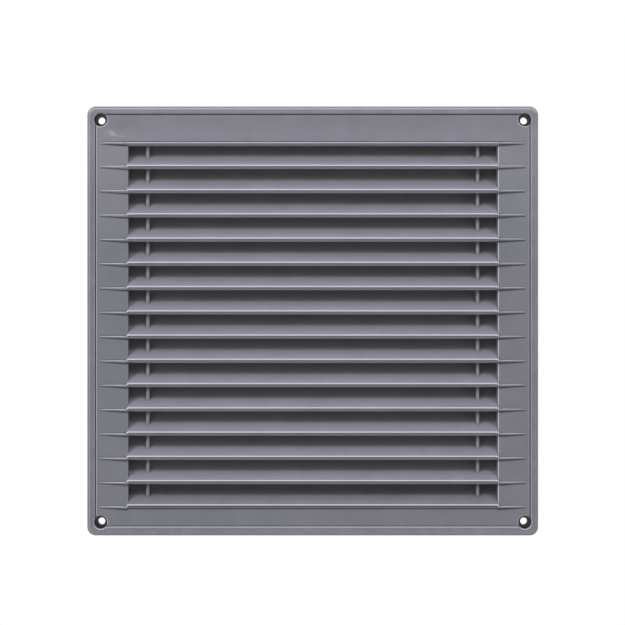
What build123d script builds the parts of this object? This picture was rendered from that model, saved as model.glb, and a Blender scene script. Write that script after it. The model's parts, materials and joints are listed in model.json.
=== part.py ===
from build123d import *
from math import radians, tan
import os

# Fixed ventilation grille, one moulding: front towards -Y, wall plane at Y = 0, +Z up.
# Sizes are millimetres, and depths are measured forwards from the wall plane.

# Plate, its skirt and its raised rim
plate_width = 260.0
plate_height = 247.4
plate_corner = 5.0
plate_wall = 2.0
skirt_wall = 2.0
panel_depth = 10.5
rim_width = 4.5
rim_raise = 0.5
rim_round = 2.0

# Groove between the rim and the panel
groove_width = 1.0
groove_depth = 0.4
panel_corner = 1.5
panel_lift = 0.3
edge_round = 0.35

# Louvre bank, between the plain bands at the top and bottom of the panel
slot_count = 15
top_band = 15.45
bottom_band = 10.05
louvre_angle = 50.0
blade_setback = 0.5
side_wall = 2.0
side_round = 0.8

# Front lip of each blade
lip_height = 2.3
lip_foot = 0.7
lip_proud = 0.95
lip_overlap = 0.5
lip_round = 0.8
lip_under_round = 0.5

# Fins that run out from the lips along the panel, and the ridge over the top slot
fin_length = 16.2
fin_gap = 2.0
fin_width = 1.15
fin_round = 0.5
fin_drop = 0.25
fin_step = 0.1
fin_tip_proud = 0.25
ridge_height = 2.3

# Posts that tie the blades together
post_width = 2.2
post_inset = 11.05
post_setback = 3.0
post_bevel = 0.6

# Screw holes at the corners
hole_inset = 7.75
hole_radius = 2.0
mouth_radius = 3.9
mouth_flare = 0.4
boss_wall = 2.2
boss_floor = 4.3

# Depths and outlines that follow from the sizes above
rim_depth = panel_depth + rim_raise
groove_floor = panel_depth - groove_depth
plate_back = panel_depth - plate_wall
plate_middle = panel_depth - plate_wall / 2
lip_depth = panel_depth + lip_proud
recess_width = plate_width - 2 * rim_width
recess_height = plate_height - 2 * rim_width
panel_width = recess_width - 2 * groove_width
panel_height = recess_height - 2 * groove_width
panel_top = panel_lift + panel_height / 2
panel_foot = panel_lift - panel_height / 2
opening_reach = panel_width / 2 - fin_gap - fin_length

# Levels of the lips, counted upwards from the lowest, and of the fins at their ends
rise = tan(radians(louvre_angle))
blade_drop = lip_height + lip_foot * rise
fin_below_lip = lip_height / 2 + fin_drop
lowest_lip = panel_foot + bottom_band + lip_height
ridge_top = panel_top - top_band
ridge_foot = ridge_top - ridge_height
top_fin = ridge_top - fin_step - fin_width / 2
louvre_pitch = (top_fin + fin_below_lip - lowest_lip) / slot_count
lip_levels = [lowest_lip + louvre_pitch * k for k in range(slot_count)]
fin_levels = [lowest_lip - fin_below_lip + louvre_pitch * k for k in range(slot_count + 1)]

# The topmost blade has no lip: its underside starts at the foot of the ridge
top_lip = ridge_foot + blade_drop - lip_proud * rise
blade_cores = (lowest_lip - blade_drop / 2, top_lip - blade_drop / 2)

# Places of the screw holes
hole_reach = plate_width / 2 - hole_inset
hole_level = plate_height / 2 - hole_inset


def sloping_strip(front, back, low, high):
    """Strip of the bank's side view between two depths, rising to the rear as the blades do.

    Its lower and upper sides run on to the levels low and high at the front of the lips.
    """
    climb_front = (lip_depth - front) * rise
    climb_back = (lip_depth - back) * rise
    with BuildSketch(Plane.YZ) as strip:
        with BuildLine():
            Polyline(
                (-front, low + climb_front),
                (-back, low + climb_back),
                (-back, high + climb_back),
                (-front, high + climb_front),
                close=True,
            )
        make_face()
    return strip.sketch


# Section of a blade, measured from the top corner of its front lip
blade_run = lip_depth - blade_setback
with BuildSketch() as blade_section:
    with BuildLine():
        Polyline(
            (0, 0),
            (blade_run, blade_run * rise),
            (blade_run, blade_run * rise - blade_drop),
            (lip_foot, -lip_height),
            (0, -lip_height),
            close=True,
        )
    make_face()
    lip_corners = blade_section.vertices().group_by(Axis.X)[0].sort_by(Axis.Y)
    fillet(lip_corners[0], radius=lip_under_round)
    fillet(lip_corners[-1], radius=lip_round)

# One blade with its lip, its ends standing a little way on the panel
with BuildPart() as blade:
    with BuildSketch(Plane.YZ):
        with Locations((-lip_depth, 0)):
            add(blade_section.sketch)
    extrude(amount=opening_reach + lip_overlap, both=True)

# The fins at the two ends of one lip, a small step inside its outline, with a crest that slopes to the tip
fin_start = opening_reach + lip_overlap / 2
fin_end = opening_reach + fin_length
with BuildPart() as fin_pair:
    with BuildSketch():
        with BuildLine():
            Polyline(
                (fin_start, -plate_middle),
                (fin_start, fin_step - lip_depth),
                (fin_end, -panel_depth - fin_tip_proud),
                (fin_end, -plate_middle),
                close=True,
            )
        make_face()
    extrude(amount=fin_width / 2, both=True)
    crest = fin_pair.faces().sort_by(Axis.Y)[0]
    fillet(crest.edges().filter_by(Axis.Z, reverse=True), radius=fin_round)
    mirror(about=Plane.YZ)

# Section of the ridge: a crest as wide as a fin's, and a flank that slopes back to the topmost blade
with BuildSketch() as ridge_section:
    with BuildLine():
        Polyline(
            (-plate_middle, ridge_top),
            (-lip_depth, ridge_top),
            (-lip_depth, ridge_top - fin_width),
            (-panel_depth, ridge_foot),
            (-plate_middle, ridge_foot + (panel_depth - plate_middle) * rise),
            close=True,
        )
    make_face()
    fillet(ridge_section.vertices().group_by(Axis.X)[0], radius=fin_round)

# One post, with its front edges bevelled, from the lowest blade up to the topmost
with BuildPart() as post:
    post_side = sloping_strip(lip_depth - post_setback, blade_setback, *blade_cores)
    extrude(post_side, amount=post_width / 2, both=True)
    chamfer(post.edges().filter_by(Axis.Z).group_by(Axis.Y)[0], length=post_bevel)

# Shape of one screw hole: flared mouth, deep counterbore, and the hole through its floor
with BuildPart() as screw_hole:
    with BuildSketch():
        with BuildLine():
            Polyline(
                (mouth_radius + mouth_flare, -panel_depth),
                (mouth_radius + mouth_flare, -rim_depth - mouth_flare),
                (0, -rim_depth - mouth_flare),
                (0, 0),
                (hole_radius, 0),
                (hole_radius, -boss_floor),
                (mouth_radius, -boss_floor),
                (mouth_radius, mouth_flare - panel_depth),
                close=True,
            )
        make_face()
    revolve(axis=Axis.Y)

with BuildPart() as grille:
    # Plate, rounded along its front outer edge
    with BuildSketch(Plane.XZ):
        RectangleRounded(plate_width, plate_height, plate_corner)
    extrude(amount=rim_depth)
    fillet(grille.faces().sort_by(Axis.Y)[0].outer_wire().edges(), radius=rim_round)

    # Recess inside the rim, a little above its middle, and the panel standing in it with a groove all round
    with BuildSketch(Plane.XZ.offset(groove_floor)):
        with Locations((0, panel_lift)):
            RectangleRounded(recess_width, recess_height, panel_corner + groove_width)
    extrude(amount=rim_depth - groove_floor, mode=Mode.SUBTRACT)
    with BuildSketch(Plane.XZ.offset(groove_floor)):
        with Locations((0, panel_lift)):
            RectangleRounded(panel_width, panel_height, panel_corner)
    extrude(amount=groove_depth)
    rim_face, panel_face = grille.faces().filter_by(Plane.XZ).sort_by(Axis.Y)[0:2]
    fillet(rim_face.inner_wires()[0].edges() + panel_face.outer_wire().edges(), radius=edge_round)

    # Hollow behind the plate, inside the skirt that meets the wall
    with BuildSketch(Plane.XZ):
        RectangleRounded(
            plate_width - 2 * skirt_wall,
            plate_height - 2 * skirt_wall,
            plate_corner - skirt_wall,
        )
    extrude(amount=plate_back, mode=Mode.SUBTRACT)

    # Opening for the louvres, its upright front edges rounded
    opening_side = sloping_strip(rim_depth, 0, *blade_cores)
    extrude(opening_side, amount=opening_reach, both=True, mode=Mode.SUBTRACT)
    panel_face = grille.faces().filter_by(Plane.XZ).sort_by(Axis.Y)[1]
    fillet(panel_face.inner_wires()[0].edges().filter_by(Axis.Z), radius=side_round)

    # Walls at the ends of the blades
    bank_side = sloping_strip(plate_back, blade_setback, lowest_lip - blade_drop, top_lip)
    with Locations((opening_reach, 0, 0), (-opening_reach - side_wall, 0, 0)):
        add(extrude(bank_side, amount=side_wall, dir=(1, 0, 0), mode=Mode.PRIVATE))

    # Posts, lipped blades, and the topmost blade behind the panel
    with Locations((post_inset - opening_reach, 0, 0), (opening_reach - post_inset, 0, 0)):
        add(post.part)
    with Locations(*[(0, 0, level) for level in lip_levels]):
        add(blade.part)
    top_blade = sloping_strip(panel_depth, blade_setback, top_lip - blade_drop, top_lip)
    extrude(top_blade, amount=opening_reach, both=True)

    # Ridge over the top slot, and the fins at the ends of it and of every lip
    with BuildSketch(Plane.YZ):
        add(ridge_section.sketch)
    extrude(amount=fin_start, both=True)
    with Locations(*[(0, 0, level) for level in fin_levels]):
        add(fin_pair.part)

    # Bosses behind the corners that stand on the wall, and the screw holes through them
    with BuildSketch(Plane.XZ):
        with GridLocations(2 * hole_reach, 2 * hole_level, 2, 2):
            Circle(mouth_radius + boss_wall)
    extrude(amount=groove_floor)
    with Locations(*[(x, 0, z) for x in (-hole_reach, hole_reach) for z in (-hole_level, hole_level)]):
        add(screw_hole.part, mode=Mode.SUBTRACT)

grille.part.label = "grille"
os.makedirs("parts", exist_ok=True)
export_step(grille.part, "parts/grille.step")
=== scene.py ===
import json

import bmesh
import bpy
import numpy as np
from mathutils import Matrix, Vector


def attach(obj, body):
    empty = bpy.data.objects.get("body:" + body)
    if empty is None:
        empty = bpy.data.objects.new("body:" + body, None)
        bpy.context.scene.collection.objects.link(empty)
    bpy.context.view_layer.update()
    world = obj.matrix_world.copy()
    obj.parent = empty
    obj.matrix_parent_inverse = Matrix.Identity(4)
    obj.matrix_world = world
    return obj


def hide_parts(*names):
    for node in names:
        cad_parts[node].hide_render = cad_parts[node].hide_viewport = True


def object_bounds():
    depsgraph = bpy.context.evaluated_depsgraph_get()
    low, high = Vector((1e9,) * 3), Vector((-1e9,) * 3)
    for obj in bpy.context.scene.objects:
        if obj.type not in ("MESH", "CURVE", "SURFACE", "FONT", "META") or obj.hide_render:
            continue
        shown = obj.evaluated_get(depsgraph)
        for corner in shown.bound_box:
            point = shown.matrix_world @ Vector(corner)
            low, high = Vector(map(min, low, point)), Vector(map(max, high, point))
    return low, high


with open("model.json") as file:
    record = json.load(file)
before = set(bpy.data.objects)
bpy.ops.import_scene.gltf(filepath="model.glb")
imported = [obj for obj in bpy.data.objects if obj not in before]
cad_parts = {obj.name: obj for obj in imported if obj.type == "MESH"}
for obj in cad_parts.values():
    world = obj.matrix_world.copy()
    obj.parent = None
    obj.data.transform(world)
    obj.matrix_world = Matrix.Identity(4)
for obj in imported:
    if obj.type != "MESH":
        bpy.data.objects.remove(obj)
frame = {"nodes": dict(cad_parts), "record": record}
cadLow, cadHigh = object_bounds()
scene = bpy.context.scene
millimetre = 0.001
print("frame loaded:", sorted(frame["nodes"]))

# the outer box and the screw pattern are the frame's own, in millimetres
halfWidth = cadHigh.x / millimetre
halfHeight = cadHigh.z / millimetre
lipDepth = -cadLow.y / millimetre
screws = next(m for m in frame["record"]["mounts"] if m["name"] == "wall_screws")["dims"]

# Plate: depths go forwards from the wall, offsets inwards from the outline. The shifts move the rim's inner
# edge, the panel's edge and the opening outwards. The painted highlight on an edge, and the painted shade in
# the groove and on the rim's outer edge (painted light where a share is below nothing), come in the order
# right, top, left, bottom; a lean is how far round an edge the painted highlight is strongest, and the
# painted shade of the outer edge fades point by point.
plate = {
    "panelDepth": 10.5,
    "rimRaise": 0.5,
    "rimWidth": 4.3,
    "rimRound": 2.0,
    "rimInnerRound": 0.45,
    "cornerRound": 5.0,
    "grooveWidth": 0.75,
    "grooveDepth": 0.4,
    "grooveCorner": 2.5,
    "grooveRound": 0.08,
    "panelLift": -0.1,
    "footLift": 0.95,
    "panelRound": 0.4,
    "panelCorner": 1.1,
    "sideOffset": 23.7,
    "sideRound": 0.45,
    "openingCorner": 0.06,
    "wall": 2.0,
    "skirt": 2.0,
    "skirtRound": 0.25,
    "rearEdgeRound": 0.2,
    "rearCornerRound": 0.4,
    "rightShift": (0.1, -0.3, 0.5),
    "leftShift": (-0.27, -0.17, 0.12),
    "rimOuterRubbed": (0.1, 0.52, 0.25, 0.2),
    "rimInnerRubbed": (0.45, 0.1, 0.25, 0.4),
    "panelRubbed": (0.5, 0.1, 1.0, 0.3),
    "openingRubbed": (1.0, 0.0, 0.15, 0.0),
    "rimOuterLean": 0.91,
    "openingLean": 0.35,
    "grooveDingy": (0.12, 0.42, 0.6, -0.05),
    "outerDingy": (0.1, 0.7, 0.0, -0.25),
    "outerFade": (1.0, 1.0, 1.0, 1.0, 0.5),
}

# Louvres: the lip is the front edge of a blade. Over the taper at its ends the foot of its face lifts, and
# from the drop's start, inside the opening's side, its top comes down.
louvres = {
    "count": 15,
    "angle": 50.0,
    "lowestLip": -105.55,
    "pitch": 13.955,
    "setback": 0.5,
    "lipHeight": 2.3,
    "lipFoot": 0.7,
    "lipRound": 1.1,
    "topDrop": 0.15,
    "faceLean": 0.3,
    "underRound": 0.5,
    "footRound": 0.05,
    "backRound": 0.3,
    "overlap": 0.9,
    "endRound": 0.3,
    "endTaper": 9.0,
    "endLift": 0.6,
    "endDrop": 0.85,
    "dropStart": 0.2,
    "rubbed": [1.0, 0.0, 0.0, 0.0, 0.1],
    "lean": [0.3, 0.5, 0.5, 0.5, 0.5],
    "faceShade": (0.38, 0.07),
}

# Fins, and the ridge between the topmost pair. Pairs of values are for the right and the left. The pitch of
# the fins is wider than the lips' by the spread, counted from the even level, and above that they thicken.
fins = {
    "width": 1.15,
    "round": 0.5,
    "roundLimit": 0.48,
    "length": 16.2,
    "belowLip": 1.4,
    "step": 0.1,
    "tipProud": 0.25,
    "tipRound": 0.35,
    "raise": (0.2, 0.05),
    "topRaise": -0.1,
    "spread": 0.048,
    "evenLevel": 8,
    "thicken": 0.05,
    "rootFoot": (0.72, 0.92),
    "tipFoot": 0.4,
    "rubbed": [0.0, 0.1, 0.85, 0.0],
    "lean": ([0.5, 0.7, 0.68, 0.5], [0.5, 0.7, 0.42, 0.5]),
    "tipRubbed": 0.5,
    "ridgeHeight": 2.3,
    "ridgeDrop": 0.08,
    "ridgeFootRound": 0.2,
    "ridgeRubbed": [0.0, 0.7, 0.2, 0.0, 0.0],
    "ridgeLean": [0.5, 0.72, 0.5, 0.5, 0.5],
}

# depths and levels that the pieces share
panelDepth = plate["panelDepth"]
rimDepth = panelDepth + plate["rimRaise"]
plateBack = panelDepth - plate["wall"]
plateMiddle = panelDepth - plate["wall"] / 2
openingReach = halfWidth - plate["sideOffset"]
rise = np.tan(np.radians(louvres["angle"]))
bladeDrop = louvres["lipHeight"] + louvres["lipFoot"] * rise
lipLevels = louvres["lowestLip"] + louvres["pitch"] * np.arange(louvres["count"])
lowestFoot = louvres["lowestLip"] - louvres["lipHeight"]
finLevels = louvres["lowestLip"] - fins["belowLip"] + louvres["pitch"] * np.arange(louvres["count"] + 1)
ridgeTop = finLevels[-1] + fins["width"] / 2 + fins["step"] - fins["ridgeDrop"]
ridgeFoot = ridgeTop - fins["ridgeHeight"]
topLip = ridgeFoot + bladeDrop - (lipDepth - panelDepth) * rise
coreLow = louvres["lowestLip"] - bladeDrop / 2
coreHigh = topLip - bladeDrop / 2


# A polygon with its corners rounded, for one section or for a stack of them: each corner becomes an arc
# that touches both sides, radius / tan(half the corner's angle) away from the corner.
def roundedSection(corners, radii, arcSteps=6, smallest=0.01):
    corners = np.asarray(corners, float)
    radii = np.maximum(np.asarray(radii, float), smallest)[..., None]
    before = np.roll(corners, 1, axis=-2) - corners
    after = np.roll(corners, -1, axis=-2) - corners
    before /= np.linalg.norm(before, axis=-1, keepdims=True)
    after /= np.linalg.norm(after, axis=-1, keepdims=True)
    inward = before + after
    inward /= np.linalg.norm(inward, axis=-1, keepdims=True)
    sine = np.abs(before[..., :1] * inward[..., 1:] - before[..., 1:] * inward[..., :1])
    cosine = np.sum(before * inward, axis=-1, keepdims=True)
    centre = corners + inward * radii / sine
    first = corners + before * radii * cosine / sine - centre
    last = corners + after * radii * cosine / sine - centre
    start = np.arctan2(first[..., 1], first[..., 0])[..., None]
    turn = np.arctan2(last[..., 1], last[..., 0])[..., None] - start
    turn = (turn + np.pi) % (2 * np.pi) - np.pi
    angle = start + turn * np.linspace(0.0, 1.0, arcSteps + 1)
    arc = np.stack([np.cos(angle), np.sin(angle)], axis=-1) * radii[..., None, :]
    points = centre[..., None, :] + arc
    return points.reshape(*corners.shape[:-2], -1, 2)


# How much painted light each point of a rounded section gets (a painted highlight, or painted shade where the
# share is below nothing): its corner's share times a half wave along the arc, raised to the fullness. The
# lean of a corner is how far along its arc the strongest point lies.
def paintedLightSection(shares, arcSteps=6, lean=0.5, fullness=0.75):
    shares = np.asarray(shares, float)
    bend = (np.log(0.5) / np.log(np.broadcast_to(lean, shares.shape[:1])))[:, None]
    swell = np.sin(np.pi * np.linspace(0.0, 1.0, arcSteps + 1) ** bend).clip(0.0) ** fullness
    return np.einsum("cs,c...->cs...", swell, shares).reshape(-1, *shares.shape[1:])


# Closed shells from grids: copies x rows x columns x 3. Columns close on themselves; rows close too when
# joined, and otherwise one flat face ends them. The painted light of each point, a highlight above nothing
# and shade below it, is kept with the mesh.
def makeShells(name, grids, rubbed=0.0, joined=False):
    grids = np.asarray(grids, float)
    if grids.ndim == 3:
        grids = grids[None]
    copies, rows, columns = grids.shape[:3]
    index = np.arange(copies * rows * columns).reshape(copies, rows, columns)
    near = index if joined else index[:, :-1]
    far = np.roll(index, -1, axis=1) if joined else index[:, 1:]
    quads = np.stack([near, np.roll(near, -1, axis=2), np.roll(far, -1, axis=2), far], axis=-1)
    faces = quads.reshape(-1, 4).tolist()
    if not joined:
        faces += index[:, 0, ::-1].tolist() + index[:, -1].tolist()
    mesh = bpy.data.meshes.new(name)
    mesh.from_pydata((grids.reshape(-1, 3) * millimetre).tolist(), [], faces)
    values = np.ascontiguousarray(np.broadcast_to(rubbed, grids.shape[:3]), np.float32)
    mesh.attributes.new("rubbed", "FLOAT", "POINT").data.foreach_set("value", values.ravel())
    work = bmesh.new()
    work.from_mesh(mesh)
    if work.calc_volume(signed=True) < 0:
        bmesh.ops.reverse_faces(work, faces=work.faces)
    work.to_mesh(mesh)
    work.free()
    shell = bpy.data.objects.new(name, mesh)
    scene.collection.objects.link(shell)
    return shell


# Plate: its section (offset from the outline, depth) runs from the skirt's foot over rim, groove and panel to
# the opening and back behind the panel. Every point of the section is carried round a rounded rectangle, a
# quarter circle at each corner and straight sides between them.
def plateShell(values, arcSteps=8, cornerSteps=9, sideSteps=90):
    groove = values["rimWidth"] + values["grooveWidth"]
    grooveFloor = panelDepth - values["grooveDepth"]
    side = values["sideOffset"]
    corners = [
        (0.0, 0.0),
        (0.0, rimDepth),
        (values["rimWidth"], rimDepth),
        (values["rimWidth"], grooveFloor),
        (groove, grooveFloor),
        (groove, panelDepth),
        (side, panelDepth),
        (side, plateBack),
        (values["skirt"], plateBack),
        (values["skirt"], 0.0),
    ]
    radii = [
        values["skirtRound"],
        values["rimRound"],
        values["rimInnerRound"],
        values["grooveRound"],
        values["grooveRound"],
        values["panelRound"],
        values["sideRound"],
        values["rearEdgeRound"],
        values["rearCornerRound"],
        values["skirtRound"],
    ]
    rimOuter, rimInner, panelEdge, opening = 1, 2, 5, 6
    grooveCorners = slice(3, 5)
    section = roundedSection(corners, radii, arcSteps)
    offset, depth = section[:, 0], section[:, 1]
    panelStart = groove + values["panelRound"]
    bend = np.interp(
        offset,
        [0.0, values["rimRound"], values["rimWidth"], groove, panelStart, side],
        [
            values["cornerRound"],
            values["cornerRound"] - values["rimRound"],
            values["grooveCorner"],
            values["grooveCorner"] - values["grooveWidth"],
            values["panelCorner"],
            values["openingCorner"],
        ],
    )
    # past the groove the offset is stretched so that the section ends at the top and foot of the opening
    inside = np.clip((offset - panelStart) / (side - panelStart), 0.0, 1.0)
    slope = (lipDepth - depth) * rise
    lift = np.interp(offset, [values["rimRound"], values["rimWidth"]], [0.0, 1.0])
    top = halfHeight - np.minimum(offset, panelStart)
    foot = lift * values["footLift"] - top
    top = lift * values["panelLift"] + top
    top = top + inside * (coreHigh + slope - top)
    foot = foot + inside * (coreLow + slope - foot)
    reach = halfWidth - offset
    quarter = np.linspace(0.0, np.pi / 2, cornerSteps)
    along = np.linspace(0.0, 1.0, sideSteps)[1:-1]
    turn, run = np.ones_like(quarter), np.ones_like(along)
    right = np.concatenate([turn, 1 - 2 * along, -turn, -run, -turn, 2 * along - 1, turn, run])
    raised = np.concatenate([turn, run, turn, 1 - along, 0 * turn, 0 * run, 0 * turn, along])
    angle = np.concatenate([np.concatenate([quarter, run * np.pi / 2]) + k * np.pi / 2 for k in range(4)])
    x = (reach - bend)[:, None] * right + bend[:, None] * np.cos(angle)
    # on the right and left, the rim's inner edge, the panel's edge and the opening are shifted
    stops = [values["rimRound"], values["rimWidth"], groove, panelStart, side]
    rightOut, leftOut = ([0.0, *values[key][:2], *values[key][1:]] for key in ("rightShift", "leftShift"))
    x = x + np.interp(offset, stops, rightOut)[:, None] * right.clip(0.0)
    x = x + np.interp(offset, stops, leftOut)[:, None] * right.clip(None, 0.0)
    y = np.broadcast_to(-depth[:, None], x.shape)
    z = (foot + bend)[:, None] * (1.0 - raised) + (top - bend)[:, None] * raised
    z = z + bend[:, None] * np.sin(angle)
    # each side's share of a column is the square of the cosine or sine of the way it faces
    sides = np.stack([np.cos(angle), np.sin(angle), -np.cos(angle), -np.sin(angle)]).clip(0.0) ** 2
    # painted highlights on the rim's outer and inner edges, the panel's edge and the opening, side by side
    shares = np.zeros((len(corners), len(sides)))
    shares[rimOuter] = values["rimOuterRubbed"]
    shares[rimInner] = values["rimInnerRubbed"]
    shares[panelEdge] = values["panelRubbed"]
    shares[opening] = values["openingRubbed"]
    leans = np.full(len(corners), 0.5)
    leans[rimOuter] = values["rimOuterLean"]
    leans[opening] = values["openingLean"]
    rubbed = paintedLightSection(shares @ sides, arcSteps, leans).reshape(len(corners), arcSteps + 1, -1)
    outerFade = np.array(values["outerFade"])[:, None]
    # painted shade on the rim's outer edge (painted light where its share is below nothing) and in the groove
    rubbed[rimOuter, :len(outerFade)] -= outerFade * (np.array(values["outerDingy"]) @ sides)
    rubbed[grooveCorners] = -(np.array(values["grooveDingy"]) @ sides)
    return makeShells("plate", np.stack([x, y, z], axis=-1), rubbed.reshape(x.shape), joined=True)


# Stations along X for a bar with rounded ends: the places, and how far the end rounding has drawn back there.
def barStations(reach, endRound, taper, endSteps=6, taperSteps=14):
    turn = np.linspace(0.0, np.pi / 2, endSteps)
    ends = reach - endRound + endRound * np.sin(turn)
    drawn = endRound * (1.0 - np.cos(turn))
    run = reach - taper + (taper - endRound) * np.linspace(0.0, 1.0, taperSteps)[:-1]
    half = np.concatenate([run, ends])
    back = np.concatenate([np.zeros_like(run), drawn])
    return np.concatenate([-half[::-1], half]), np.concatenate([back[::-1], back])


# Louvre blades: the lip's face, its rounded edges and the sloping blade are one section (distance behind the
# lip, height over its top), carried along X. Towards the ends the foot of the lip's face lifts, and past the
# opening its top comes down to the level of the fin.
def bladeShells(values, arcSteps=7):
    x, drawn = barStations(openingReach + values["overlap"], values["endRound"], values["endTaper"])
    reach = np.abs(x)
    nearEnd = np.clip((reach - openingReach + values["endTaper"]) / values["endTaper"], 0.0, 1.0)
    lift = values["endLift"] * nearEnd * nearEnd
    start = values["dropStart"]
    past = np.clip((reach - openingReach + start) / (values["overlap"] + start), 0.0, 1.0)
    top = -values["topDrop"] - (values["endDrop"] - values["topDrop"]) * past
    run = np.full_like(x, lipDepth - values["setback"])
    low = np.full_like(x, -values["lipHeight"])
    corners = np.stack(
        [
            np.stack([drawn, top], axis=-1),
            np.stack([run, run * rise], axis=-1),
            np.stack([run, run * rise - bladeDrop], axis=-1),
            np.stack([drawn + values["lipFoot"] + values["faceLean"], low], axis=-1),
            np.stack([drawn + values["faceLean"], low + lift], axis=-1),
        ],
        axis=1,
    )
    radii = [
        values["lipRound"],
        values["backRound"],
        values["backRound"],
        values["footRound"],
        values["underRound"],
    ]
    section = roundedSection(corners, radii, arcSteps)
    y = section[..., 0] - lipDepth
    z = section[..., 1]
    grid = np.stack([np.broadcast_to(x[:, None], y.shape), y, z], axis=-1)
    places = np.zeros((values["count"], 1, 1, 3))
    places[:, 0, 0, 2] = lipLevels
    # painted highlight on the lip's top edge, and painted shade at the top and foot of its face
    rubbed = paintedLightSection(values["rubbed"], arcSteps, values["lean"])
    rubbed[[0, -1]] = -np.array(values["faceShade"])
    return makeShells("blades", grid[None] + places, rubbed)


# A strip of the bank's side view between two levels at the front of the lips, which rises to the rear as the
# blades do, carried along X between the given places.
def slopingStrip(x, front, low, high, backRound):
    back = louvres["setback"]
    depth = np.array([front, back, back, front])
    level = np.array([low, low, high, high]) + (lipDepth - depth) * rise
    section = roundedSection(np.stack([-depth, level], axis=-1), [0.0, backRound, backRound, 0.0])
    shape = (*x.shape, len(section))
    y, z = np.broadcast_to(section[:, 0], shape), np.broadcast_to(section[:, 1], shape)
    return np.stack([np.broadcast_to(x[..., None], shape), y, z], axis=-1)


# Topmost blade, behind the panel: a strip of the same slope and thickness with no lip.
def topBladeShell(values):
    x = np.array([-1.0, 1.0]) * (openingReach + values["overlap"])
    low = topLip - bladeDrop
    return makeShells("top_blade", slopingStrip(x, panelDepth, low, topLip, values["backRound"]))


# Ridge over the top slot: a rounded crest and a flank that slopes back to the topmost blade.
def ridgeShell(values, arcSteps=7):
    x, drawn = barStations(openingReach + louvres["overlap"], louvres["endRound"], louvres["endTaper"])
    one = np.ones_like(x)
    front = lipDepth - drawn
    corners = np.stack(
        [
            np.stack([plateMiddle * one, ridgeTop * one], axis=-1),
            np.stack([front, ridgeTop * one], axis=-1),
            np.stack([front, (ridgeTop - values["width"]) * one], axis=-1),
            np.stack([panelDepth * one, ridgeFoot * one], axis=-1),
            np.stack([plateMiddle * one, (ridgeFoot + (panelDepth - plateMiddle) * rise) * one], axis=-1),
        ],
        axis=1,
    )
    radii = [0.0, values["round"], values["round"], values["ridgeFootRound"], 0.0]
    section = roundedSection(corners, radii, arcSteps)
    y = -section[..., 0]
    z = section[..., 1]
    grid = np.stack([np.broadcast_to(x[:, None], y.shape), y, z], axis=-1)
    # painted highlight on the ridge's crest
    return makeShells("ridge", grid, paintedLightSection(values["ridgeRubbed"], arcSteps, values["ridgeLean"]))


# Fins: a rib with a rounded crest whose height falls in a straight line from the lip to a rounded tip, while
# its lower side draws in. The sides of the grille come in the order right, left.
def finShells(values, arcSteps=7, tipSteps=6, runSteps=6):
    start = openingReach + louvres["overlap"] / 2
    end = openingReach + values["length"]
    turn = np.linspace(0.0, np.pi / 2, tipSteps)
    run = np.linspace(start, end - values["tipRound"], runSteps)[:-1]
    x = np.concatenate([run, end - values["tipRound"] * (1.0 - np.sin(turn))])
    crest = np.interp(x, [start, end], [lipDepth - values["step"], panelDepth + values["tipProud"]])
    crest[-tipSteps:] -= values["tipRound"] * (1.0 - np.cos(turn))
    half = np.full((2, len(x)), values["width"] / 2)
    deeper = np.array(values["rootFoot"])[:, None] - values["tipFoot"]
    low = values["tipFoot"] + deeper * (end - x) / (end - start)
    crest = np.broadcast_to(crest, half.shape)
    base = np.full_like(half, plateMiddle)
    corners = np.stack(
        [
            np.stack([-low, base], axis=-1),
            np.stack([-low, crest], axis=-1),
            np.stack([half, crest], axis=-1),
            np.stack([half, base], axis=-1),
        ],
        axis=-2,
    )
    widest = values["roundLimit"] * (half + low)[..., None]
    radii = np.minimum([0.0, values["round"], values["round"], 0.0], widest)
    section = roundedSection(corners, radii, arcSteps)
    side = np.array([1.0, -1.0])[:, None, None] * np.broadcast_to(x[:, None], section.shape[:3])
    grid = np.stack([side, -section[..., 1], section[..., 0]], axis=-1)
    # painted highlight on the fins' crests, weaker towards the tip
    highlightShare = np.interp(x, [start, end], [1.0, values["tipRubbed"]])[:, None]
    rubbed = np.stack([highlightShare * paintedLightSection(values["rubbed"], arcSteps, lean) for lean in values["lean"]])
    # the left side is a mirror image, so its columns run the other way
    grid[1] = grid[1, :, ::-1]
    rubbed[1] = rubbed[1, :, ::-1]
    # every level has its own raise and thickness; the topmost pair is apart
    places = np.zeros((len(finLevels), 2, 1, 1, 3))
    places[..., 0, 0, 2] = finLevels[:, None]
    above = np.arange(len(finLevels) - 1) - values["evenLevel"]
    places[:-1, :, 0, 0, 2] += np.array(values["raise"]) + values["spread"] * above[:, None]
    places[-1, :, 0, 0, 2] += values["topRaise"]
    rubbed = np.tile(rubbed, (len(finLevels), 1, 1))
    grids = np.repeat(grid[None], len(finLevels), axis=0)
    thicker = 1.0 + values["thicken"] * above.clip(0)[:, None, None, None]
    grids[:-1, ..., 2] *= np.where(grids[:-1, ..., 2] < 0.0, thicker, 1.0)
    return makeShells("fins", (grids + places).reshape(-1, *grid.shape[1:]), rubbed)


# the painted light and shade on the posts goes by the distance below the top of the lip above; part of it is
# even over the front
posts = {
    "width": 1.9,
    "inset": 11.05,
    "setback": 3.0,
    "round": 0.8,
    "backRound": 0.1,
    "rows": 200,
    "rubbed": [0.0, 1.0, 1.0, 0.0],
    "lean": [0.5, 0.45, 0.55, 0.5],
    "wearAt": [2.6, 3.4, 4.2, 5.0, 6.2, 7.2, 8.5, 10.0],
    "wear": [-0.35, -0.3, 0.15, 0.3, 0.32, 0.22, 0.1, 0.05],
    "evenShare": 0.6,
}


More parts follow.
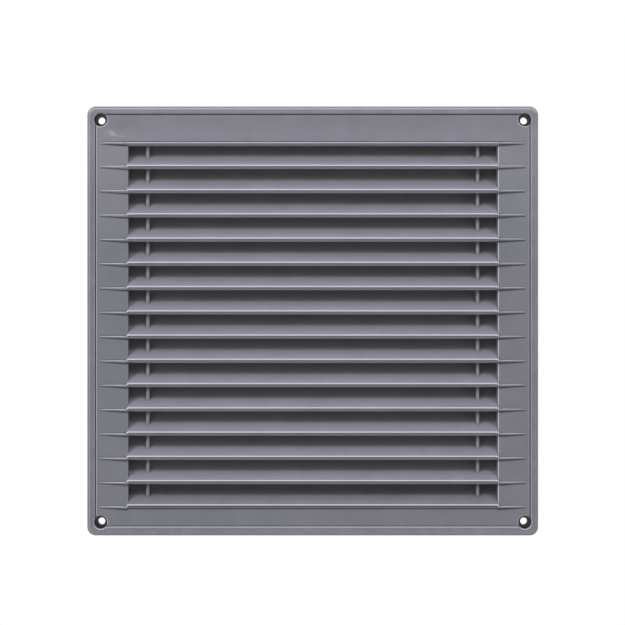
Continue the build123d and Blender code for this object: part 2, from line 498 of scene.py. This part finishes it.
# Posts: an upright bar with rounded front edges, cut to the slope of the lowest and the topmost blade.
def postShells(values):
    half = values["width"] / 2
    front = lipDepth - values["setback"]
    back = louvres["setback"]
    corners = [(-half, back), (-half, front), (half, front), (half, back)]
    radii = [values["backRound"], values["round"], values["round"], values["backRound"]]
    section = roundedSection(corners, radii)
    x, depth = section[:, 0], section[:, 1]
    level = np.linspace(coreLow, coreHigh, values["rows"])[:, None] + (lipDepth - depth) * rise
    grid = np.stack([np.broadcast_to(x, level.shape), np.broadcast_to(-depth, level.shape), level], axis=-1)
    wear = np.interp((louvres["lowestLip"] - level) % louvres["pitch"], values["wearAt"], values["wear"])
    even = np.repeat(values["rubbed"], len(section) // len(corners))
    edges = paintedLightSection(values["rubbed"], lean=values["lean"])
    wear = wear * (values["evenShare"] * even + (1.0 - values["evenShare"]) * edges)
    places = np.zeros((2, 1, 1, 3))
    places[:, 0, 0, 0] = np.array([-1.0, 1.0]) * (openingReach - values["inset"])
    return makeShells("posts", grid[None] + places, wear)


endWalls = {"thickness": 2.0, "backRound": 0.25}


# Walls at the ends of the blades: the bank's side view, a sloping strip, carried along X.
def endWallShells(values):
    outer = openingReach + values["thickness"]
    x = np.array([[openingReach, outer], [-outer, -openingReach]])
    low = louvres["lowestLip"] - bladeDrop
    return makeShells("end_walls", slopingStrip(x, plateMiddle, low, topLip, values["backRound"]))


# the hole's cutter starts behind the wall plane and ends before the rim
holes = {
    "mouth": 3.9,
    "flare": 0.5,
    "floor": 4.3,
    "floorRound": 0.3,
    "throughEdge": 0.15,
    "draft": 0.45,
    "bossWall": 2.2,
    "sides": 56,
    "behind": 1.0,
    "before": 2.0,
    "rubbed": 0.8,
    "shade": 0.08,
}


# A turned shape at each screw place: rings of a given radius and depth about the hole's axis.
def turnedShells(name, radius, depth, values, rubbed=0.0):
    angle = np.linspace(0.0, 2 * np.pi, values["sides"], endpoint=False)
    radius, depth = np.asarray(radius, float)[:, None], np.asarray(depth, float)[:, None]
    y = np.broadcast_to(-depth, (len(depth), len(angle)))
    ring = np.stack([radius * np.cos(angle), y, radius * np.sin(angle)], axis=-1)
    across, up = screws["spacing_x_mm"] / 2, screws["spacing_y_mm"] / 2
    places = np.array([[-across, 0, -up], [across, 0, -up], [-across, 0, up], [across, 0, up]])
    return makeShells(name, ring[None] + places[:, None, None, :], rubbed)


# Bosses: a cylinder from the wall plane into the plate, its rear edge bevelled.
def bossShells(values):
    radius = values["mouth"] + values["bossWall"]
    bevel = values["floorRound"]
    return turnedShells("bosses", [radius - bevel, radius, radius], [0.0, bevel, plateMiddle], values)


# Screw hole: a through hole that widens to the rear, a floor with a rounded corner, a counterbore and a mouth
# that rounds out into the panel; the two roundings are quarter circles.
def screwHoleShells(values, arcPoints=8):
    turn = np.linspace(0.0, np.pi / 2, arcPoints)
    through, mouth, floorDepth = screws["hole_r_mm"], values["mouth"], values["floor"]
    flare, soft, edge = values["flare"], values["floorRound"], values["throughEdge"]
    radius = np.concatenate(
        [
            [through + values["draft"], through, through + edge],
            mouth - soft * (1 - np.sin(turn)),
            mouth + flare * (1 - np.cos(turn)),
            [mouth + flare],
        ]
    )
    depth = np.concatenate(
        [
            [-values["behind"], floorDepth - edge, floorDepth],
            floorDepth + soft * (1 - np.cos(turn)),
            panelDepth - flare * (1 - np.sin(turn)),
            [rimDepth + values["before"]],
        ]
    )
    # painted shade inside the hole, and a painted highlight on the mouth's rounding
    shaded = np.full(len(radius) - arcPoints - 1, -values["shade"])
    rubbed = np.concatenate([shaded, values["rubbed"] * np.sin(2 * turn), [0.0]])
    return turnedShells("screw_holes", radius, depth, values, rubbed[:, None])


def combine(base, operand, operation):
    step = base.modifiers.new(operand.name, "BOOLEAN")
    step.object = operand
    step.operation = operation
    step.solver = "MANIFOLD"
    graph = bpy.context.evaluated_depsgraph_get()
    mesh = bpy.data.meshes.new_from_object(base.evaluated_get(graph))
    base.modifiers.clear()
    base.data = mesh
    bpy.data.objects.remove(operand)


body = plateShell(plate)
for part in (
    endWallShells(endWalls),
    postShells(posts),
    bladeShells(louvres),
    topBladeShell(louvres),
    ridgeShell(fins),
    finShells(fins),
    bossShells(holes),
):
    combine(body, part, "UNION")
combine(body, screwHoleShells(holes), "DIFFERENCE")
body.name = "grille_moulding"
body.data.name = "grille_moulding"
print("moulding built:", len(body.data.polygons), "faces")

shading = {"sharpAngle": 38.0, "flatWeight": 80}
body.data.shade_smooth()
body.data.set_sharp_from_angle(angle=np.radians(shading["sharpAngle"]))
weighted = body.modifiers.new("flat_faces_stay_flat", "WEIGHTED_NORMAL")
weighted.keep_sharp = True
weighted.weight = shading["flatWeight"]

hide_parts("grille")
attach(body, "root")

# lengths here are metres, except the margins: how far behind the panel the front reaches, how far over it the
# rim starts and its flat ends, in millimetres
plastic = {
    "colour": (0.198, 0.195, 0.228),
    "coolTint": (0.94, 1.0, 0.985),
    "rubbedColour": (0.7, 0.69, 0.73, 1.0),
    "roughness": 0.36,
    "rubbedRoughness": 0.25,
    "sheen": 0.35,
    "frontMargin": 1.0,
    "rimMargin": 0.2,
    "flatMargin": 0.04,
    "cloudScale": 70.0,
    "cloudDetail": 3.0,
    "cloudDepth": 0.12,
    "smudgeScale": 170.0,
    "smudgeDetail": 2.0,
    "smudgeDepth": 0.05,
    "rimSmudge": 0.14,
    "lowestBlade": 0.24,
    "lowestFade": 0.004,
    "fade": 0.22,
    "fadeFrom": 0.035,
    "fadeTo": 0.1,
    "creaseWidth": 0.0008,
    "finCrease": 0.3,
    "ridgeCrease": 0.9,
    "shadeWidth": 0.0016,
    "shadeTip": 0.3,
    "shadeDepth": 0.8,
    "footWidth": 0.0007,
    "grainScale": 1500.0,
    "grainDetail": 2.0,
    "grainHeight": 0.00002,
}

# places of the cooler tint on the front: middle across and up, reach across and up, in metres
coolPatches = [(-0.117, -0.008, 0.03, 0.095), (0.113, 0.06, 0.013, 0.035), (-0.07, -0.113, 0.07, 0.02)]

# the scuff beside the upper left hole, its tail, the haze and smudge by it, a darker strip along the top, the
# paler rim at the top and bottom, a darker part of the left rim, painted shadow under the topmost fins and
# painted shade in the crease over them: place as above, turn, and change of tone
marks = [
    ((-0.1155, 0.1082, 0.0029, 0.0019), -40.0, 0.38),
    ((-0.1118, 0.1068, 0.006, 0.0013), -12.0, 0.2),
    ((-0.118, 0.1083, 0.0045, 0.0032), 0.0, 0.15),
    ((-0.112, 0.1128, 0.009, 0.005), 0.0, -0.1),
    ((0.0, 0.12, 0.4, 0.014), 0.0, -0.12),
    ((0.0, 0.122, 0.4, 0.003), 0.0, 0.16),
    ((0.0, -0.1208, 0.4, 0.0032), 0.0, 0.12),
    ((-0.1277, 0.078, 0.0035, 0.045), 0.0, -0.14),
    ((-0.1125, 0.1015, 0.0112, 0.0011), -2.0, -0.5),
    ((0.1125, 0.1014, 0.0112, 0.001), 2.0, -0.45),
    ((-0.1095, 0.1034, 0.008, 0.0006), 0.0, -0.15),
    ((0.1095, 0.1034, 0.008, 0.0006), 0.0, -0.15),
]


def addNode(tree, kind, **settings):
    node = tree.nodes.new(kind)
    for name, value in settings.items():
        setattr(node, name, value)
    return node


def feed(tree, socket, value):
    if isinstance(value, bpy.types.NodeSocket):
        tree.links.new(value, socket)
    else:
        socket.default_value = value


def calculate(tree, operation, *values):
    node = addNode(tree, "ShaderNodeMath", operation=operation)
    for socket, value in zip(node.inputs, values):
        feed(tree, socket, value)
    return node.outputs["Value"]


# the colour sockets of a mix node are its inputs 6 and 7 and its output 2
def blend(tree, share, first, second):
    node = addNode(tree, "ShaderNodeMix", data_type="RGBA")
    feed(tree, node.inputs[0], share)
    feed(tree, node.inputs[6], first)
    feed(tree, node.inputs[7], second)
    return node.outputs[2]


def addNoise(tree, position, scale, detail):
    node = addNode(tree, "ShaderNodeTexNoise")
    node.inputs["Scale"].default_value = scale
    node.inputs["Detail"].default_value = detail
    feed(tree, node.inputs["Vector"], position)
    return node.outputs["Fac"]


# a smooth step from 0 at the start to 1 at the end, which may be the lower of the two
def ramp(tree, value, start, end):
    node = addNode(tree, "ShaderNodeMapRange", interpolation_type="SMOOTHSTEP")
    feed(tree, node.inputs["Value"], value)
    node.inputs["From Min"].default_value = min(start, end)
    node.inputs["From Max"].default_value = max(start, end)
    node.inputs["To Min"].default_value = 0.0 if start < end else 1.0
    node.inputs["To Max"].default_value = 1.0 if start < end else 0.0
    return node.outputs["Result"]


# 1 in the middle of an ellipse over the front, falling smoothly to 0 at its edge; the ellipse may be turned
def softSpot(tree, across, up, place, turn=0.0):
    x = calculate(tree, "SUBTRACT", across, place[0])
    z = calculate(tree, "SUBTRACT", up, place[1])
    cosine, sine = np.cos(np.radians(turn)), np.sin(np.radians(turn))
    along = calculate(tree, "MULTIPLY", x, cosine / place[2])
    along = calculate(tree, "MULTIPLY_ADD", z, sine / place[2], along)
    beside = calculate(tree, "MULTIPLY", x, -sine / place[3])
    beside = calculate(tree, "MULTIPLY_ADD", z, cosine / place[3], beside)
    squared = calculate(tree, "MULTIPLY_ADD", along, along, calculate(tree, "MULTIPLY", beside, beside))
    return ramp(tree, squared, 1.0, 0.0)


# Painted shade in the creases over the fins and the ridge, a painted shadow under each fin, wider towards
# the opening, and one under the lowest lip. The lines repeat with the pitch: step is the share of a pitch
# above the crest of a fin.
def creaseLines(tree, values, wide, up, beside, below):
    pitch = louvres["pitch"] * millimetre
    crestTop = (finLevels[0] + np.mean(fins["raise"]) + fins["width"] / 2) * millimetre
    spread = fins["spread"] / louvres["pitch"]
    shift = calculate(tree, "MULTIPLY_ADD", up, spread, -spread * finLevels[fins["evenLevel"]] * millimetre)
    level = calculate(tree, "SUBTRACT", up, calculate(tree, "MINIMUM", shift, 0.0))
    step = calculate(tree, "FRACT", calculate(tree, "MULTIPLY_ADD", level, 1 / pitch, -crestTop / pitch))
    over = ramp(tree, calculate(tree, "MULTIPLY", step, pitch), values["creaseWidth"], 0.0)
    fainter = values["finCrease"] - values["ridgeCrease"]
    depth = calculate(tree, "MULTIPLY_ADD", beside, fainter, values["ridgeCrease"])
    crease = calculate(tree, "MULTIPLY", over, depth)

    length = fins["length"] * millimetre
    taper = calculate(tree, "MULTIPLY_ADD", wide, -1 / length, 1 + openingReach / fins["length"])
    reach = calculate(tree, "MULTIPLY_ADD", taper, 1 - values["shadeTip"], values["shadeTip"])
    tipFoot = (fins["tipFoot"] + fins["width"] / 2) * millimetre
    under = calculate(tree, "MULTIPLY_ADD", step, -pitch, pitch - tipFoot)
    drawnIn = (fins["tipFoot"] - max(fins["rootFoot"])) * millimetre
    under = calculate(tree, "MULTIPLY_ADD", taper, drawnIn, under)
    under = calculate(tree, "DIVIDE", calculate(tree, "DIVIDE", under, values["shadeWidth"]), reach)
    under = calculate(tree, "MULTIPLY", ramp(tree, under, 1.0, 0.0), beside)

    footWidth = values["footWidth"]
    foot = calculate(tree, "MULTIPLY_ADD", up, -1 / footWidth, lowestFoot * millimetre / footWidth)
    foot = calculate(tree, "MULTIPLY", ramp(tree, foot, 1.0, 0.0), calculate(tree, "SUBTRACT", below, beside))
    shade = calculate(tree, "MAXIMUM", under, foot)
    return calculate(tree, "MULTIPLY_ADD", shade, values["shadeDepth"], crease)


def mouldedPlastic(values):
    material = bpy.data.materials.new("moulded_grey_plastic")
    material.use_nodes = True
    tree = material.node_tree
    shader = tree.nodes["Principled BSDF"]
    position = addNode(tree, "ShaderNodeTexCoord").outputs["Object"]
    axes = addNode(tree, "ShaderNodeSeparateXYZ")
    feed(tree, axes.inputs["Vector"], position)
    across, forward, up = axes.outputs["X"], axes.outputs["Y"], axes.outputs["Z"]
    wide = calculate(tree, "ABSOLUTE", across)
    rubbed = addNode(tree, "ShaderNodeAttribute", attribute_name="rubbed").outputs["Fac"]

    # the panel and rim, as against the louvre bank
    beside = calculate(tree, "GREATER_THAN", wide, openingReach * millimetre)
    above = calculate(tree, "GREATER_THAN", up, ridgeTop * millimetre)
    below = calculate(tree, "LESS_THAN", up, lowestFoot * millimetre)
    facing = calculate(tree, "LESS_THAN", forward, -(panelDepth - values["frontMargin"]) * millimetre)
    framed = calculate(tree, "MAXIMUM", calculate(tree, "MAXIMUM", beside, above), below)
    panel = calculate(tree, "MULTIPLY", framed, facing)

    # faint clouds in the tone of the plastic, and a painted reflection that makes the panel paler towards the
    # top
    clouds = addNoise(tree, position, values["cloudScale"], values["cloudDetail"])
    tone = calculate(tree, "MULTIPLY_ADD", clouds, 2 * values["cloudDepth"], 1.0 - values["cloudDepth"])
    fade = calculate(tree, "MULTIPLY", ramp(tree, up, values["fadeFrom"], values["fadeTo"]), panel)
    tone = calculate(tree, "MULTIPLY_ADD", fade, values["fade"], tone)

    # small smudges, stronger on the rim
    smudges = addNoise(tree, position, values["smudgeScale"], values["smudgeDetail"])
    smudges = calculate(tree, "MULTIPLY_ADD", smudges, 2.0, -1.0)
    onRim = calculate(tree, "LESS_THAN", forward, -(panelDepth + values["rimMargin"]) * millimetre)
    onRim = calculate(tree, "MULTIPLY", onRim, panel)
    smudgeDepth = calculate(tree, "MULTIPLY_ADD", onRim, values["rimSmudge"], values["smudgeDepth"])
    tone = calculate(tree, "MULTIPLY_ADD", smudges, smudgeDepth, tone)

    # the lowest blade is darker than the others
    slotTop = lowestFoot * millimetre + louvres["pitch"] * millimetre
    lowest = ramp(tree, up, slotTop, slotTop - values["lowestFade"])
    lowest = calculate(tree, "MULTIPLY", lowest, calculate(tree, "SUBTRACT", 1.0, framed))
    tone = calculate(tree, "MULTIPLY_ADD", lowest, -values["lowestBlade"], tone)

    for place, turn, change in marks:
        spot = calculate(tree, "MULTIPLY", softSpot(tree, across, up, place, turn), panel)
        tone = calculate(tree, "MULTIPLY_ADD", spot, change, tone)

    # painted shade and shadow lines along the fins, the ridge and the lowest lip, on the flat of the panel
    flat = calculate(tree, "GREATER_THAN", forward, -(panelDepth + values["flatMargin"]) * millimetre)
    within = calculate(tree, "LESS_THAN", wide, (openingReach + fins["length"]) * millimetre)
    within = calculate(tree, "MULTIPLY", calculate(tree, "MULTIPLY", panel, within), flat)
    banked = calculate(tree, "LESS_THAN", up, (finLevels[-1] + louvres["pitch"] / 2) * millimetre)
    within = calculate(tree, "MULTIPLY", within, banked)
    crease = calculate(tree, "MULTIPLY", creaseLines(tree, values, wide, up, beside, below), within)
    tone = calculate(tree, "MULTIPLY_ADD", crease, -1.0, tone)

    # a painted light value under nothing is painted shade, which darkens the colour
    tone = calculate(tree, "MULTIPLY_ADD", calculate(tree, "MINIMUM", rubbed, 0.0), tone, tone)
    rubbed = calculate(tree, "MAXIMUM", rubbed, 0.0)
    toned = addNode(tree, "ShaderNodeVectorMath", operation="SCALE")
    toned.inputs[0].default_value = values["colour"]
    feed(tree, toned.inputs["Scale"], tone)

    # patches of a cooler grey
    cool = softSpot(tree, across, up, coolPatches[0])
    for patch in coolPatches[1:]:
        cool = calculate(tree, "MAXIMUM", cool, softSpot(tree, across, up, patch))
    cool = calculate(tree, "MULTIPLY", cool, panel)
    tinted = addNode(tree, "ShaderNodeVectorMath", operation="MULTIPLY")
    feed(tree, tinted.inputs[0], toned.outputs["Vector"])
    tinted.inputs[1].default_value = values["coolTint"]
    colour = blend(tree, cool, toned.outputs["Vector"], tinted.outputs["Vector"])

    # painted highlight: edges with painted light are paler in colour, and smoother as well
    feed(tree, shader.inputs["Base Color"], blend(tree, rubbed, colour, values["rubbedColour"]))
    smoother = values["rubbedRoughness"] - values["roughness"]
    roughness = calculate(tree, "MULTIPLY_ADD", rubbed, smoother, values["roughness"])
    feed(tree, shader.inputs["Roughness"], roughness)
    shader.inputs["Specular IOR Level"].default_value = values["sheen"]

    # fine moulded grain
    bump = addNode(tree, "ShaderNodeBump")
    bump.inputs["Strength"].default_value = 1.0
    bump.inputs["Distance"].default_value = values["grainHeight"]
    grain = addNoise(tree, position, values["grainScale"], values["grainDetail"])
    feed(tree, bump.inputs["Height"], grain)
    feed(tree, shader.inputs["Normal"], bump.outputs["Normal"])
    return material


body.data.materials.clear()
body.data.materials.append(mouldedPlastic(plastic))
print("plastic set")

# straight in front, a little above the grille's middle, in millimetres; the clip distances are metres
camera = {
    "distance": 960.0,
    "side": -0.13,
    "height": 4.89,
    "frameWidth": 359.58,
    "sensor": 36.0,
    "clip": (0.05, 20.0),
}


def placeCamera(values):
    data = bpy.data.cameras.new("front_camera")
    data.sensor_width = values["sensor"]
    data.lens = data.sensor_width * values["distance"] / values["frameWidth"]
    data.clip_start, data.clip_end = values["clip"]
    view = bpy.data.objects.new("front_camera", data)
    scene.collection.objects.link(view)
    view.location = Vector((values["side"], -values["distance"] - lipDepth, values["height"])) * millimetre
    view.rotation_euler = Vector((0.0, 1.0, 0.0)).to_track_quat("-Z", "Z").to_euler()
    scene.camera = view


placeCamera(camera)
print("camera placed")

# pale floor under the grille, out of the camera's view, in metres
floor = {
    "level": -0.45,
    "reach": 1.5,
    "front": -1.7,
    "back": 1.1,
    "colour": (0.8, 0.8, 0.79, 1.0),
    "roughness": 0.7,
}


def layFloor(values):
    mesh = bpy.data.meshes.new("floor")
    x = values["reach"] * np.array([-1.0, 1.0, 1.0, -1.0])
    y = np.array([values["front"], values["front"], values["back"], values["back"]])
    z = np.full(len(x), values["level"])
    mesh.from_pydata(np.stack([x, y, z], axis=-1).tolist(), [], [(0, 1, 2, 3)])
    ground = bpy.data.objects.new("floor", mesh)
    scene.collection.objects.link(ground)
    material = bpy.data.materials.new("pale_floor")
    material.use_nodes = True
    shader = material.node_tree.nodes["Principled BSDF"]
    shader.inputs["Base Color"].default_value = values["colour"]
    shader.inputs["Roughness"].default_value = values["roughness"]
    mesh.materials.append(material)


layFloor(floor)
print("floor laid")

# soft lamps: where they come from (azimuth from the front, elevation), distance, width, height, power, tint
lamps = {
    "key_left": (-60.0, 38.0, 2.0, 0.35, 0.35, 14.5, (0.98, 1.0, 1.09)),
    "side_left": (-54.0, 39.0, 2.0, 0.5, 1.4, 9.2, (0.98, 1.0, 1.09)),
    "key_right": (60.0, 38.0, 2.0, 0.35, 0.35, 12.7, (1.02, 1.0, 1.13)),
    "side_right": (55.0, 42.0, 2.0, 0.5, 1.0, 4.4, (1.02, 1.0, 1.13)),
    "low_right": (60.0, 0.0, 2.0, 0.35, 0.35, 2.1, (1.0, 1.0, 1.0)),
    "low_left": (-60.0, 20.0, 2.0, 0.35, 0.35, 2.6, (0.98, 1.0, 1.09)),
    "low_front": (-40.0, 15.0, 2.0, 0.35, 0.35, 1.3, (0.98, 1.0, 1.09)),
    "overhead": (0.0, 80.0, 2.0, 0.6, 0.4, 3.6, (1.05, 1.0, 1.4)),
}


def addLamp(name, azimuth, elevation, distance, width, height, power, tint):
    data = bpy.data.lights.new(name, "AREA")
    data.shape = "RECTANGLE"
    data.size = width
    data.size_y = height
    data.energy = power
    data.color = tint
    lamp = bpy.data.objects.new(name, data)
    scene.collection.objects.link(lamp)
    azimuth = np.radians(azimuth)
    elevation = np.radians(elevation)
    flat = np.cos(elevation)
    outward = Vector((np.sin(azimuth) * flat, -np.cos(azimuth) * flat, np.sin(elevation)))
    lamp.location = outward * distance
    lamp.rotation_euler = (-outward).to_track_quat("-Z", "Y").to_euler()


for lampName, lampValues in lamps.items():
    addLamp(lampName, *lampValues)

# surroundings: white to the eye and to reflections, a soft and slightly warm light otherwise
surroundings = {"light": 0.19, "tint": (0.97, 1.0, 0.6, 1.0), "seen": (1.0, 1.0, 1.0, 1.0)}


def lightWorld(values):
    world = bpy.data.worlds.new("studio")
    world.use_nodes = True
    scene.world = world
    tree = world.node_tree
    tree.nodes.clear()
    output = addNode(tree, "ShaderNodeOutputWorld")
    soft = addNode(tree, "ShaderNodeBackground")
    soft.inputs["Color"].default_value = values["tint"]
    soft.inputs["Strength"].default_value = values["light"]
    white = addNode(tree, "ShaderNodeBackground")
    white.inputs["Color"].default_value = values["seen"]
    path = addNode(tree, "ShaderNodeLightPath")
    seen = calculate(tree, "MAXIMUM", path.outputs["Is Camera Ray"], path.outputs["Is Glossy Ray"])
    seen = calculate(tree, "MAXIMUM", seen, path.outputs["Is Transmission Ray"])
    mix = addNode(tree, "ShaderNodeMixShader")
    feed(tree, mix.inputs["Fac"], seen)
    feed(tree, mix.inputs[1], soft.outputs["Background"])
    feed(tree, mix.inputs[2], white.outputs["Background"])
    feed(tree, output.inputs["Surface"], mix.outputs["Shader"])


lightWorld(surroundings)
print("light set")

scene.view_settings.view_transform = "Standard"
